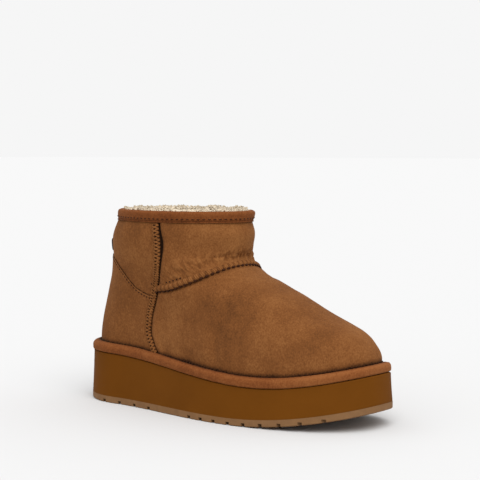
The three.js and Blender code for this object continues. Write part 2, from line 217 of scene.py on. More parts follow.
def unit(vectors):
    return vectors / np.maximum(np.linalg.norm(vectors, axis=-1, keepdims=True), 1e-12)


def lengths_along(points):
    """How far along a line each of its points is."""
    return np.concatenate([[0], np.cumsum(np.linalg.norm(np.diff(points, axis=0), axis=1))])


def follow(points):
    """Unit directions along a line of points."""
    return unit(np.gradient(points, axis=0))


def crossing(rising, wanted):
    """Where each rising row of numbers passes the number wanted of it, in steps."""
    i = np.clip(np.sum(rising < wanted[:, None], axis=1) - 1, 0, rising.shape[1] - 2)
    low = np.take_along_axis(rising, i[:, None], 1)[:, 0]
    high = np.take_along_axis(rising, i[:, None] + 1, 1)[:, 0]
    return i + np.clip((wanted - low) / np.maximum(high - low, 1e-9), 0, 1)


def weights(count, places, closed):
    """What each numbered point gives to a smooth curve through them all, at the given places."""
    second = np.zeros((count, count))
    solve = np.eye(count)
    for i in range(count) if closed else range(1, count - 1):
        before, after = (i - 1) % count, (i + 1) % count
        solve[i, i] = 4.0
        solve[i, before] += 1.0
        solve[i, after] += 1.0
        second[i, before] += 6.0
        second[i, i] -= 12.0
        second[i, after] += 6.0
    bend = np.linalg.solve(solve, second)
    places = np.asarray(places, float)
    places = np.mod(places, count) if closed else np.clip(places, 0, count - 1)
    i = np.minimum(np.floor(places).astype(int), count - 1 if closed else count - 2)
    t = (places - i)[:, None]
    point = np.eye(count)
    after = (i + 1) % count
    flat = (1 - t) * point[i] + t * point[after]
    return flat + ((1 - t) ** 3 - (1 - t)) / 6 * bend[i] + (t**3 - t) / 6 * bend[after]


class Surface:
    """The smooth face through rows of points, each row a closed ring of RING points."""

    def __init__(self, rows):
        self.rows = np.asarray(rows, float)
        self.last = len(self.rows) - 1
        self.tables = {}

    def grid(self, columns, rows):
        across = weights(self.rows.shape[1], columns, True)
        down = weights(self.rows.shape[0], rows, False)
        return np.tensordot(down, np.tensordot(across, self.rows, (1, 1)), (1, 1))

    def at(self, column, row):
        across = weights(self.rows.shape[1], np.ravel(column), True)
        down = weights(self.rows.shape[0], np.ravel(row), False)
        return np.einsum("ni,nj,ijk->nk", down, across, self.rows, optimize=True)

    def frame(self, column, row, find=None):
        """Points, outward normals and upward tangents at places, or over a grid with find=grid."""
        find = find or self.at
        column, row = np.asarray(column, float), np.asarray(row, float)
        low, high = (np.clip(row + step, 0, self.last) for step in (-TANGENT_STEP, TANGENT_STEP))
        around = unit(find(column + TANGENT_STEP, row) - find(column - TANGENT_STEP, row))
        normal = unit(np.cross(around, find(column, high) - find(column, low)))
        return find(column, row), normal, unit(np.cross(normal, around))

    def locate(self, x, z, inner=False):
        """Column and row of the point that shows at x and z from the outer or the inner side."""
        x, z = (a.ravel() for a in np.broadcast_arrays(np.asarray(x, float), np.asarray(z, float)))
        places = np.linspace(0, SIDE_STEPS, LOCATE_STEPS + 1)
        rows = np.linspace(0, self.last, 10 * self.last + 1)
        if inner not in self.tables:
            self.tables[inner] = self.grid(RING - places if inner else places, rows)
        seen = self.tables[inner]
        row = np.full(len(x), self.last / 2.0)
        for _ in range(5):
            r = np.round(row / self.last * (len(rows) - 1)).astype(int)
            column = crossing(seen[r, :, 0], x) * SIDE_STEPS / LOCATE_STEPS
            c = np.round(column / SIDE_STEPS * LOCATE_STEPS).astype(int)
            row = crossing(seen[:, c, 2].T, z) * self.last / (len(rows) - 1)
        return (RING - column if inner else column), row


def alone(obj):
    """Nothing else stays selected, and the object is the active one."""
    bpy.ops.object.select_all(action="DESELECT")
    obj.select_set(True)
    bpy.context.view_layer.objects.active = obj
    return obj


@contextmanager
def editing(obj, action="SELECT"):
    """Edit mode on one object, with all of its mesh selected, or none."""
    alone(obj)
    bpy.ops.object.mode_set(mode="EDIT")
    bpy.ops.mesh.select_all(action=action)
    yield
    bpy.ops.object.mode_set(mode="OBJECT")


def add_object(name, data):
    made = bpy.data.objects.new(name, data)
    bpy.context.scene.collection.objects.link(made)
    return made


def merged_copy(node, name):
    """A copy of a CAD node's mesh, merged and turned back from triangles into its grid of quads."""
    made = add_object(name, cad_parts[node].data.copy())
    made.data.materials.clear()
    with editing(made):
        bpy.ops.mesh.remove_doubles(threshold=1e-6)
        bpy.ops.mesh.tris_convert_to_quads(
            face_threshold=math.pi, shape_threshold=math.pi, topology_influence=1.3
        )
    return made


def read_rows(node, capped=False):
    """The rings of a CAD body in millimetres, each from the heel round the outer side.
    They go from the top ring down the outside, and up inside again if the body is a tube."""
    copy = merged_copy(node, "reading_" + node)
    points = np.array([v.co for v in copy.data.vertices]) * 1000
    beside, faces = {}, {}
    for face in copy.data.polygons:
        if capped and abs(face.normal.z) > 0.9:
            continue
        for edge in face.edge_keys:
            a, b = edge
            if edge not in faces:
                beside.setdefault(a, []).append(b)
                beside.setdefault(b, []).append(a)
            faces.setdefault(edge, set()).add(face.index)
    bpy.data.objects.remove(copy)

    def straight_on(before, here):
        used = faces[(min(before, here), max(before, here))]
        return next(n for n in beside[here] if not faces[(min(n, here), max(n, here))] & used)

    if capped:
        ends = [i for i in beside if len(beside[i]) == 3 and points[i, 0] < 0]
        start = max(ends, key=lambda i: points[i, 2] - abs(points[i, 1]))
    else:
        high = points[:, 2].max() - 0.02
        start = min((i for i in beside if points[i, 2] > high), key=lambda i: points[i, 0])
    ring = [start, min(beside[start], key=lambda i: points[i, 1])]
    while len(ring) < RING:
        ring.append(straight_on(ring[-2], ring[-1]))
    rows, inside = [ring], set(ring)
    below = [min((i for i in beside[start] if i not in inside), key=lambda i: points[i, 2])]
    for k in range(1, RING):
        below.append(next(n for n in beside[ring[k]] if n in beside[below[-1]] and n not in inside))
    while below[0] != start:
        rows.append(below)
        if len(beside[below[0]]) == 3:
            break
        below = [straight_on(a, b) for a, b in zip(rows[-2], rows[-1])]
    return points[np.array(rows)]


def grid_points(name, points, tone=None):
    """A grid primitive whose points are set on the rows and columns given, with its tone attribute."""
    rows, columns = points.shape[:2]
    bpy.ops.object.select_all(action="DESELECT")
    bpy.ops.mesh.primitive_grid_add(x_subdivisions=columns - 1, y_subdivisions=rows - 1, size=0.1)
    made = bpy.context.object
    made.name = made.data.name = name
    made.data.vertices.foreach_set("co", (points.reshape(-1, 3) * MM).ravel())
    made.data.update()
    if tone is not None:
        attribute = made.data.attributes.new("tone", "FLOAT", "POINT")
        attribute.data.foreach_set("value", np.ascontiguousarray(tone, np.float32).ravel())
    return made


def merge_points(obj):
    with editing(obj):
        bpy.ops.mesh.remove_doubles(threshold=1e-7)


def face_outwards(obj):
    with editing(obj):
        bpy.ops.mesh.normals_make_consistent(inside=False)


def wrap(values, axis):
    """Repeats the first row or column at the end, so that a grid closes on itself."""
    return np.concatenate([values, np.take(values, [0], axis=axis)], axis=axis)


def ring_piece(name, points, tone=None):
    """A closed ring body: a grid of the shape (rows, columns, 3), rolled up both ways and merged."""
    tone = np.zeros(points.shape[:2]) if tone is None else tone
    made = grid_points(name, wrap(wrap(points, 0), 1), wrap(wrap(tone, 0), 1))
    merge_points(made)
    face_outwards(made)
    return made


def sheet_piece(name, points, thickness, tone=None):
    """A thin body round the heel: a grid on the rows and columns given, thickened inwards."""
    made = grid_points(name, points, tone)
    middle = Vector((HEEL_MIDDLE * MM, 0, 0))
    outwards = sum(p.normal.xy.dot((p.center - middle).xy) for p in made.data.polygons)
    if outwards < 0:
        with editing(made):
            bpy.ops.mesh.flip_normals()
    solid = made.modifiers.new("thickness", "SOLIDIFY")
    solid.thickness = thickness * MM
    solid.offset = -1
    alone(made)
    bpy.ops.object.modifier_apply(modifier=solid.name)
    return made


def strip_piece(name, points, tone=0.0):
    """A closed strip: a grid rolled up on its rings, (rings, around, 3), with closed ends."""
    made = grid_points(name, wrap(points, 1), wrap(np.broadcast_to(tone, points.shape[:2]), 1))
    merge_points(made)
    with editing(made, "DESELECT"):
        bpy.ops.mesh.select_mode(type="EDGE")
        bpy.ops.mesh.select_non_manifold(extend=False)
        bpy.ops.mesh.edge_face_add()
    face_outwards(made)
    return made


def mesh_object(name, points, faces):
    mesh = bpy.data.meshes.new(name)
    mesh.from_pydata(points.tolist(), [], faces)
    mesh.update()
    return add_object(name, mesh)


def ladder_piece(name, rings):
    """A capped body from rings that hold the same places on both sides, each cap a ladder across."""
    rows, columns = rings.shape[:2]
    faces = []
    for base in range(0, (rows - 1) * columns, columns):
        for k in range(columns):
            n = (k + 1) % columns
            faces.append((base + k, base + n, base + columns + n, base + columns + k))
    for base, turn in ((0, -1), ((rows - 1) * columns, 1)):
        for k in range(columns // 2):
            face = (k, k + 1, (columns - k - 1) % columns, (columns - k) % columns)
            faces.append([base + i for i in dict.fromkeys(face)][::turn])
    made = mesh_object(name, rings.reshape(-1, 3) * MM, faces)
    face_outwards(made)
    return made


def copies(name, template, centres, along, normals, sizes=1.0):
    """One mesh of many copies of a template, each with its X along and its Z outwards."""
    shape = np.array([v.co for v in template.data.vertices])
    polygons = [tuple(p.vertices) for p in template.data.polygons]
    along, normals = unit(np.asarray(along, float)), np.asarray(normals, float)
    normals = unit(normals - along * np.sum(along * normals, axis=1, keepdims=True))
    axes = (along, np.cross(normals, along), normals)
    turned = sum(shape[None, :, i : i + 1] * axis[:, None] for i, axis in enumerate(axes))
    sizes = np.broadcast_to(sizes, len(centres))[:, None, None]
    points = (turned * sizes + np.asarray(centres, float)[:, None] * MM).reshape(-1, 3)
    starts = range(0, len(points), len(shape))
    made = mesh_object(name, points, [[i + start for i in p] for start in starts for p in polygons])
    bpy.data.objects.remove(template)
    return made


def stitch_template(length, width, height):
    """One stitch of thread, rounded at both ends, lying along X."""
    bpy.ops.object.select_all(action="DESELECT")
    bpy.ops.mesh.primitive_uv_sphere_add(segments=8, ring_count=6, radius=0.5)
    made = bpy.context.object
    size = (length * MM, width * MM, height * MM)
    with editing(made):
        bpy.ops.transform.rotate(value=math.pi / 2, orient_axis="Y", center_override=(0, 0, 0))
        bpy.ops.transform.resize(value=size, center_override=(0, 0, 0))
    return made


def finish_piece(obj, look, slot, *stands_for):
    """Gives a piece its material, lets it ride, and hides the CAD nodes that it stands for. The slot is
    not used.
    """
    obj.data.materials.clear()
    obj.data.materials.append(material(look))
    for polygon in obj.data.polygons:
        polygon.use_smooth = True
    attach(obj, "root")
    if stands_for:
        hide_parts(*stands_for)


def paint(code):
    """An sRGB hex colour as linear red, green, blue and alpha."""
    parts = [int(code[i : i + 2], 16) / 255 for i in (1, 3, 5)]
    linear = [c / 12.92 if c <= 0.04045 else ((c + 0.055) / 1.055) ** 2.4 for c in parts]
    return (*linear, 1.0)


def node(tree, kind, inputs=None, **settings):
    """Adds a node, sets what is given and links what comes from other nodes."""
    made = tree.nodes.new(kind)
    for name, value in settings.items():
        setattr(made, name, value)
    for key, value in (inputs or {}).items():
        if isinstance(value, bpy.types.NodeSocket):
            tree.links.new(value, made.inputs[key])
        else:
            made.inputs[key].default_value = value
    return made


def new_material(name, values):
    """A material with a Principled shader, whose own sockets hold what is the same all over."""
    material = bpy.data.materials.new(name)
    material.use_nodes = True
    tree = material.node_tree
    tree.nodes.clear()
    shader = node(tree, "ShaderNodeBsdfPrincipled", values)
    node(tree, "ShaderNodeOutputMaterial", {"Surface": shader.outputs["BSDF"]})
    place = node(tree, "ShaderNodeTexCoord").outputs["Object"]
    return material, tree, shader, place


def per_mm(size):
    """A texture scale whose features are about this many millimetres across."""
    return 1000.0 / size


def speckle(tree, place, size, detail, roughness=0.5):
    """Soft noise, from a feature's size in millimetres."""
    values = {"Vector": place, "Scale": per_mm(size), "Detail": detail, "Roughness": roughness}
    return node(tree, "ShaderNodeTexNoise", values).outputs["Fac"]


def cells(tree, place, size, **settings):
    values = {"Vector": place, "Scale": per_mm(size)}
    return node(tree, "ShaderNodeTexVoronoi", values, **settings).outputs["Distance"]


def add_times(tree, value, factor, more):
    """value * factor + more"""
    values = {0: value, 1: factor, 2: more}
    return node(tree, "ShaderNodeMath", values, operation="MULTIPLY_ADD").outputs[0]


def colour_between(tree, shader, share, first, second):
    mix = node(tree, "ShaderNodeMix", {0: share, 6: first, 7: second}, data_type="RGBA")
    tree.links.new(mix.outputs[2], shader.inputs["Base Color"])


def relief(tree, shader, height, strength, distance, **settings):
    values = {"Height": height, "Strength": strength, "Distance": distance * MM}
    bump = node(tree, "ShaderNodeBump", values, **settings)
    tree.links.new(bump.outputs["Normal"], shader.inputs["Normal"])


# Layers of the suede's mottle, by size in millimetres. The nap's fibres are finer than the last one
# and are drawn about a millimetre wide so that they show
SUEDE_LAYERS = (
    ("size", "share", "detail"),
    (34, 0.7, 3.0),
    (11, 0.3, 3.0),
    (3.2, 0.4, 2.0),
    (1.0, 1.1, 2.0),
)


def suede_material(name, gap, dark, middle, light):
    # Brushed sheepskin suede: a matt nap in soft patches, lighter where it is stroked up; the tone
    # attribute adds painted light and shade, down to a near-black painted shadow
    values = {
        "Roughness": 0.95,
        "Specular IOR Level": 0.1,
        "Sheen Weight": 0.1,
        "Sheen Roughness": 0.4,
        "Sheen Tint": paint("#d09a62"),
    }
    material, tree, shader, place = new_material(name, values)
    drift = node(tree, "ShaderNodeMapping", {"Vector": place, "Scale": (1.0, 1.0, 0.72)}).outputs[0]
    total = node(tree, "ShaderNodeAttribute", attribute_name="tone").outputs["Fac"]
    layers = []
    for size, share, detail in SUEDE_LAYERS[1:]:
        layers.append(speckle(tree, drift, size, detail, 0.55))
        even = node(tree, "ShaderNodeMath", {0: layers[-1], 1: 0.5}, operation="SUBTRACT")
        total = add_times(tree, even.outputs[0], share, total)
    ramp = node(tree, "ShaderNodeMapRange", {"Value": total, "From Min": -1.0, "From Max": 0.5})
    colours = node(tree, "ShaderNodeValToRGB", {"Fac": ramp.outputs[0]})
    band = colours.color_ramp.elements
    band[0].position, band[0].color = 0.0, paint(gap)
    band[1].position, band[1].color = 1.0, paint(light)
    band.new(0.45).color = paint(dark)
    band.new(0.667).color = paint(middle)
    tree.links.new(colours.outputs["Color"], shader.inputs["Base Color"])
    relief(tree, shader, add_times(tree, layers[2], 1.6, layers[3]), 0.35, 0.5)
    return material


def foam_material(colours):
    # Moulded EVA foam: smooth and satin, with a faint mottle from the mould and a soft highlight
    values = {"Roughness": 0.6, "IOR": 1.5, "Specular IOR Level": 0.02}
    material, tree, shader, place = new_material("moulded EVA foam", values)
    cloud = speckle(tree, place, 30, 3.0)
    colour_between(tree, shader, cloud, paint(colours.foam_dark), paint(colours.foam_light))
    # The foam's cells are drawn about half a millimetre across
    relief(tree, shader, speckle(tree, place, 0.6, 1.0), 0.12, 0.2)
    return material


def rubber_material(colours):
    # Pressed gum rubber: matt and slightly dusty, with a fine grain
    values = {"Roughness": 0.8, "IOR": 1.52, "Specular IOR Level": 0.15}
    material, tree, shader, place = new_material("pressed gum rubber", values)
    cloud = speckle(tree, place, 9, 4.0, 0.6)
    colour_between(tree, shader, cloud, paint(colours.rubber_dark), paint(colours.rubber_light))
    relief(tree, shader, speckle(tree, place, 0.8, 2.0), 0.25, 0.2)
    return material


def fleece_material(colours):
    # Sheared sheep's wool: cream curls with a soft sheen, and painted shade that darkens them between
    # the locks
    values = {
        "Roughness": 0.95,
        "Specular IOR Level": 0.1,
        "Sheen Weight": 0.5,
        "Sheen Roughness": 0.6,
        "Sheen Tint": paint("#fff2dc"),
    }
    material, tree, shader, place = new_material("sheared sheep wool", values)
    curls = cells(tree, place, 3.2, feature="SMOOTH_F1")
    depth = add_times(tree, curls, 0.6, speckle(tree, place, 0.9, 2.0, 0.7))
    colour_between(tree, shader, depth, paint(colours.fleece_light), paint(colours.fleece_dark))
    relief(tree, shader, depth, 0.5, 1.0, invert=True)
    return material


def thread_material(colours):
    # Waxed polyester thread: a twisted strand, a little glossier than the suede
    values = {"Roughness": 0.7, "Specular IOR Level": 0.1}
    material, tree, shader, place = new_material("dark waxed thread", values)
    light = paint(colours.thread)
    dark = (*(0.6 * c for c in light[:3]), 1.0)
    colour_between(tree, shader, speckle(tree, place, 0.8, 1.0), light, dark)
    return material


def leather_material(colours):
    # Smooth finished leather: dark, with a fine pebbled grain and a low gloss
    values = {"Roughness": 0.65, "Specular IOR Level": 0.15}
    material, tree, shader, place = new_material("finished leather", values)
    cloud = speckle(tree, place, 6, 2.0)
    colour_between(tree, shader, cloud, paint(colours.tab_dark), paint(colours.tab_light))
    relief(tree, shader, cells(tree, place, 0.9), 0.3, 0.2)
    return material


def length_size(name, description, millimetres):
    return bpy.props.FloatProperty(
        name=name, description=description, default=millimetres * MM, unit="LENGTH"
    )


def hex_colour(name, default):
    return bpy.props.StringProperty(name=name, description="sRGB hex colour", default=default)


class BootSizes(bpy.types.PropertyGroup):
    """Sizes that the solids leave to the dressing."""

    nap_relief: length_size("Nap relief", "How far the suede's soft lumps stand out", 0.12)
    pile_depth: length_size("Pile depth", "How deep the fleece lining is inside the boot", 6.0)
    stitch_pitch: length_size("Stitch pitch", "Spacing of the binding's stitches", 4.3)


class BootColours(bpy.types.PropertyGroup):
    """Colours of the materials."""

    # Suede and trim colours: the nap's mottle, and also the painted light and shade of the tone
    # attribute
    suede_dark: hex_colour("Suede, stroked down", "#5c371a")
    suede_middle: hex_colour("Suede", "#6d4220")
    suede_light: hex_colour("Suede, stroked up", "#85572f")
    trim_dark: hex_colour("Trim, dark", "#5d3216")
    trim_middle: hex_colour("Trim", "#6e3d1c")
    trim_light: hex_colour("Trim, light", "#83502a")
    # Painted shadow: the near-black that the tone attribute reaches in the seams' gaps and holes
    gap: hex_colour("Depth of the seams", "#1c0c04")
    foam_dark: hex_colour("Foam, dark", "#5a330a")
    foam_light: hex_colour("Foam, light", "#693d0f")
    rubber_dark: hex_colour("Rubber, dark", "#674a30")
    rubber_light: hex_colour("Rubber, light", "#876340")
    # The deep fleece colour is painted shade between the locks
    fleece_dark: hex_colour("Fleece, deep", "#cdbea6")
    fleece_light: hex_colour("Fleece, tips", "#dfd3c1")
    thread: hex_colour("Thread", "#3b1d0c")
    tab_dark: hex_colour("Tab, dark", "#1d110b")
    tab_light: hex_colour("Tab, light", "#2e1c12")


MATERIALS = {
    "suede": lambda c: suede_material(
        "brushed sheepskin suede", c.gap, c.suede_dark, c.suede_middle, c.suede_light
    ),
    "trim": lambda c: suede_material(
        "brushed trim suede", c.gap, c.trim_dark, c.trim_middle, c.trim_light
    ),
    "foam": foam_material,
    "rubber": rubber_material,
    "fleece": fleece_material,
    "thread": thread_material,
    "leather": leather_material,
}

# What is made once and used by several pieces
MADE = {}


def material(name):
    """A material of the boot, made the first time that a piece asks for it."""
    if name not in MADE:
        MADE[name] = MATERIALS[name](bpy.context.scene.boot_colours)
    return MADE[name]


def upper_rows():
    """The upper's outer rows from its foot to the collar, and its inner rows in the same order."""
    if "upper_rows" not in MADE:
        rows = read_rows("upper")
        x, z = rows[..., 0], rows[..., 2]
        front = smooth(-60, 0, x) * smooth(114, 128, z) * (1 - smooth(138, 152, z))
        rows[..., 0] -= SHAFT_FRONT_IN * front + TOE_IN * smooth(95, 128, x)
        half = len(rows) // 2
        MADE["upper_rows"] = (rows[:half][::-1], rows[half:])
    return MADE["upper_rows"]


def skin():
    """The upper's smooth outer face."""
    if "skin" not in MADE:
        MADE["skin"] = Surface(upper_rows()[0])
    return MADE["skin"]


def lumps(points, *layers):
    """Soft lumps at each point, the sum of layers of a size in millimetres and a share."""
    made = [sum(s * noise.noise(Vector(p) / size) for size, s in layers) for p in points.reshape(-1, 3)]
    return np.array(made).reshape(points.shape[:-1])


def broad_lumps(points, size):
    """Lumps with finer ones on them."""
    return np.array([noise.fractal(Vector(p) / size, 0.8, 2.0, 3) for p in points.reshape(-1, 3)])


def stroke(points, line, width, fade=12.0):
    """How near the points are to a drawn line, 1 on it and 0 away from it, fading at both ends."""
    line = np.asarray(line, float)
    best = np.full(len(points), 1e9)
    share = np.zeros(len(points))
    start = lengths_along(line)
    for i, length in enumerate(np.diff(start)):
        a, b = line[i], line[i + 1]
        t = np.clip(((points - a) @ (b - a)) / length**2, 0, 1)
        away = np.linalg.norm(points - a - t[:, None] * (b - a), axis=1)
        nearer = away < best
        best = np.where(nearer, away, best)
        share = np.where(nearer, start[i] + t * length, share)
    return bell(best, 0.0, width) * smooth(0, fade, share) * smooth(0, fade, start[-1] - share)


# Soft creases of the suede in side view, in millimetres. Side is -1 for the outer, 1 for the inner and
# 0 for both. Depth is below nought for a trough
CREASES = (
    ("side", "depth", "width", "line"),
    (-1, -0.8, 4.0, ((31, 94), (26, 80), (21, 64), (20, 52), (21, 38))),
    (-1, 0.5, 6.0, ((14, 88), (9, 70), (7, 52), (8, 40))),
    (-1, -0.5, 2.2, ((20, 66), (20, 54), (21, 40))),
    (-1, 0.4, 3.5, ((27, 66), (27, 54), (28, 40))),
    (0, -0.5, 2.5, ((14, 100), (24, 104), (34, 109))),
    (0, -0.6, 3.0, ((74, 88), (84, 83), (100, 76), (110, 70))),
    (-1, -0.5, 5.0, ((84, 54), (94, 62), (104, 74))),
    (-1, 0.4, 6.0, ((58, 54), (66, 66), (72, 80))),
    (1, -0.6, 3.5, ((4, 40), (6, 54), (4, 70))),
    (1, 0.5, 5.0, ((-6, 44), (-5, 58), (-8, 70))),
    (0, -0.5, 5.0, ((-118, 60), (-112, 72), (-100, 80))),
)


# Folds beside the side seam, in millimetres: how far they stand out, how far in front of its middle
# they lie and how wide they are
GAP_DEPTH = 1.7
SEAM_FOLDS = (("height", "place", "width"), (0.8, 8.5, 3.2), (-0.5, -4.2, 1.4))

# Folds along the instep roll, in millimetres: their height, what the front adds to it, how far over
# the seam's line they lie and how wide they are
ROLL_FOLDS = (
    ("height", "front", "place", "width"),
    (-0.9, 0.0, -0.4, 1.2),
    (0.5, -2.0, -5.5, 4.5),
    (0.0, 1.3, 10.0, 5.5),
)

# Wrinkles over the instep roll, in millimetres: their height, their size along it and over it, and a
# place in the noise
WRINKLES = (("height", "along", "over", "place"), (1.3, 1.5, 2.6, 3.7), (0.8, 6.0, 4.0, 9.1))

# Places where the suede is painted lighter or darker, in side view in millimetres: patches of the nap's
# mottle, and painted light and shade such as the lit patch on the vamp at (-32, 66)
TONES = (
    ("side", "change", "reach", "place"),
    (-1, -0.20, 13.0, (31, 87)),
    (-1, -0.12, 26.0, (12, 84)),
    (-1, 0.10, 22.0, (-100, 118)),
    (0, 0.28, 22.0, (12, 132)),
    (-1, 0.24, 22.0, (-32, 66)),
    (-1, -0.10, 18.0, (-112, 60)),
    (0, 0.14, 30.0, (100, 62)),
    (0, 0.14, 22.0, (42, 108)),
    (-1, -0.12, 20.0, (30, 56)),
    (-1, -0.14, 10.0, (97, 62)),
    (-1, -0.12, 10.0, (100, 73)),
    (1, -0.12, 24.0, (10, 80)),
)


def on_side(y, which):
    """1 for the points on a side: -1 is the outer side, 1 the inner side and 0 both."""
    return 1.0 if which == 0 else (np.sign(y) == which).astype(float)


def roll_front(share):
    """1 on the front of the instep roll and 0 at its ends, from shares of its length."""
    return smooth(0.18, 0.33, share) * smooth(0.18, 0.33, 1 - share)


def gap_place(z):
    """Middle and width of the sunk gap beside the side seam, painted dark as shade, which is widest in
    the shaft's middle.
    """
    wide = bell(z, 131, 11.0)
    return 3.3 + 0.9 * wide, 0.8 + 0.9 * wide


def above_roll(z, column):
    """How far the points are above the instep seam's line and along it, and 1 where the seam runs."""
    if "roll" not in MADE:
        u, v = instep_line(200)
        line = skin().at(u, v)
        MADE["roll"] = (u, line[:, 2], lengths_along(line))
    u, height, run = MADE["roll"]
    near = smooth(u[0] - 0.15, u[0] + 0.25, column) * smooth(-u[-1] - 0.15, -u[-1] + 0.25, -column)
    return z - np.interp(column, u, height), np.interp(column, u, run), near


def gathers(z, column):
    """The fine wrinkles over the instep roll, in millimetres, strongest towards the front."""
    over, length, near = above_roll(z, column)
    share = length / np.max(length)
    made = np.zeros(len(z))
    for height, wide, high, place in WRINKLES[1:]:
        spots = (Vector((s / wide, h / high, place)) for s, h in zip(length, over))
        made += height * np.array([noise.noise(spot) for spot in spots])
    strength = near * (0.35 + 0.65 * smooth(0.15, 0.3, share) * smooth(0.15, 0.3, 1 - share))
    return strength * made * smooth(2.5, 5.0, over) * (1 - smooth(7.0, 18.0, over))


def upper_relief(points, column):
    """How far the suede stands off its solid, in millimetres."""
    x, y, z = points.T
    flat = np.stack([x, z], axis=1)
    lift = gathers(z, column)
    for which, depth, width, line in CREASES[1:]:
        lift += depth * on_side(y, which) * stroke(flat, line, width)
    past = x - seam_x(z)
    lift -= GAP_DEPTH * bell(past, *gap_place(z))
    for height, place, width in SEAM_FOLDS[1:]:
        lift += height * bell(past, place, width)
    over, length, near = above_roll(z, column)
    front = roll_front(length / np.max(length))
    for height, more, place, width in ROLL_FOLDS[1:]:
        lift += near * (height + more * front) * bell(over, place, width)
    return lift


def welt_height(column):
    """How high the welt's top stands round the upper."""
    return np.interp(column, np.arange(RING + 1), wrap(MADE["welt_top"], 0))


def upper_tone(points, column):
    """How much lighter or darker the suede is painted: painted shade in the gap, under the roll and
    over the welt.
    """
    x, y, z = points.T
    tone = np.zeros(len(points))
    # Patches of nap mottle, together with painted light and shade
    for which, change, reach, place in TONES[1:]:
        tone += change * on_side(y, which) * bell(np.hypot(x - place[0], z - place[1]), 0.0, reach)
    # Painted shadow in the gap beside the side seam, stronger higher up the shaft
    tone -= (0.8 + 0.7 * smooth(84, 98, z)) * bell(x - seam_x(z), *gap_place(z))
    over, _, near = above_roll(z, column)
    # Painted shadow in a line under the instep roll
    tone -= near * 0.7 * bell(over, -0.2, 0.9)
    # Painted contact shade on the suede just above the welt
    return tone - 0.9 * bell(np.maximum(z - welt_height(column), 0), 0.0, 2.2)


def make_upper():
    outer, inner = upper_rows()
    MADE["welt_top"] = read_rows("welt")[0][:, 2]
    rows = np.linspace(len(outer) - 1, 0, 112)
    shown, normal, _ = skin().frame(COLUMNS, rows, skin().grid)
    hidden = Surface(inner).grid(COLUMNS, np.linspace(0, len(inner) - 1, 15))
    flat, column = shown.reshape(-1, 3), np.tile(COLUMNS, len(rows))
    nap = broad_lumps(flat, 22.0)
    lift = upper_relief(flat, column) + nap * bpy.context.scene.boot_sizes.nap_relief / MM * 2
    # The wrinkles over the roll are painted lighter on their ridges and darker in their troughs:
    # painted light and shade
    tone = upper_tone(flat, column) + 0.12 * nap + 0.35 * gathers(flat[:, 2], column)
    shown = shown + normal * lift.reshape(*shown.shape[:2], 1)
    tone = np.concatenate([tone.reshape(shown.shape[:2]), np.zeros(hidden.shape[:2])])
    made = ring_piece("suede_upper", np.concatenate([shown, hidden]), tone)
    finish_piece(made, "suede", "suede", "upper")


def make_counter():
    """The heel counter lies over the upper, from one side seam round the heel to the other."""
    face = skin()
    rows = np.arange(0, 18.01, 0.1)
    heights = face.grid(np.arange(0, RING, 0.5), rows)[..., 2]
    down = np.concatenate([np.linspace(0, 0.06, 12), np.linspace(0.08, 1, 48)])
    across, down = np.meshgrid(np.linspace(-1, 1, 221), down)
    shape, a, t = across.shape, across.ravel(), down.ravel()
    u, v = -a * 12.0, np.full(len(a), 6.0)
    # The edges lie on lines in side view, so the places on the skin are found in a few rounds
    for _ in range(6):
        z = face.at(u, v)[:, 2]
        edge = seam_x(z) - 2.6
        outer, inner = face.locate(edge, z)[0], face.locate(edge, z, inner=True)[0] - RING
        u = np.abs(a) * np.where(a > 0, outer, inner)
        points = face.at(u, v)
        top = counter_z(points[:, 0])
        column = np.mod(np.round(u * 2).astype(int), heights.shape[1])
        high = np.array([np.interp(z, heights[:, i], rows) for z, i in zip(top, column)])
        v = high * (1 - t) + 0.4 * t
    points, normal, _ = face.frame(u, v)
    drop = top - points[:, 2]
    round_edge = np.sqrt(np.clip(1 - (1 - np.clip(drop / 0.9, 0, 1)) ** 2, 0, 1))
    lift = 0.25 + 0.6 * round_edge * smooth(0, 0.02, 1 - np.abs(a))
    lift += 0.15 * broad_lumps(points, 20.0) - 0.35 * bell(drop, 2.4, 0.5)
    # Painted highlight on a strip below the counter's edge, and a painted shadow along the edge itself
    tone = upper_tone(points, np.mod(u, RING)) + 0.3 * bell(drop, 1.4, 0.6) - 0.9 * bell(drop, 0.1, 0.5)
    placed = (points + normal * lift[:, None]).reshape(*shape, 3)
    made = sheet_piece("heel_counter_panel", placed, 0.9, tone.reshape(shape))
    finish_piece(made, "suede", "suede", "heel_counter")


def raised_strip(name, points, normals, size, face, sink=0.8, around=28):
    """A half-round strip on a line. face gives its lift and tone by length and across, -1 to 1."""
    width, height = size
    side = unit(np.cross(normals, follow(points)))
    angle = np.linspace(0, 2 * math.pi, around, endpoint=False)
    across, out = np.cos(angle), np.sin(angle)
    lift, tone = face(lengths_along(points)[:, None], across[None, :])
    up = np.where(out > 0, out * (height + lift), out * sink)
    sideways = side[:, None] * (across * width / 2)[None, :, None]
    return strip_piece(name, points[:, None] + sideways + normals[:, None] * up[..., None], tone)


def whipped(length, across):
    """The face of a side seam: threads that cross on a slant, lighter as part thread colour and part
    painted highlight, with holes between them painted dark with shade.
    """
    turn = 2 * math.pi * length / SEAM_PITCH
    threads = np.maximum(np.cos(turn + 3.0 * across), np.cos(turn - 3.0 * across))
    # Tone: threads lighter, part thread colour and part painted highlight; holes painted dark as shade
    return 0.6 * threads, 0.75 * threads - 0.42


def puckers(length, across):
    """The gathered face of the instep roll, pinched at each stitch."""
    pinch = np.abs(np.sin(math.pi * length / ROLL_PITCH)) ** 0.6
    thread = np.cos(6 * math.pi * length / ROLL_PITCH + 2.6 * across)
    # Tone: the pinches are painted darker as shade
    return 0.7 * (pinch - 0.6) + 0.16 * thread, 0.75 * (pinch - 0.7) + 0.24 * thread


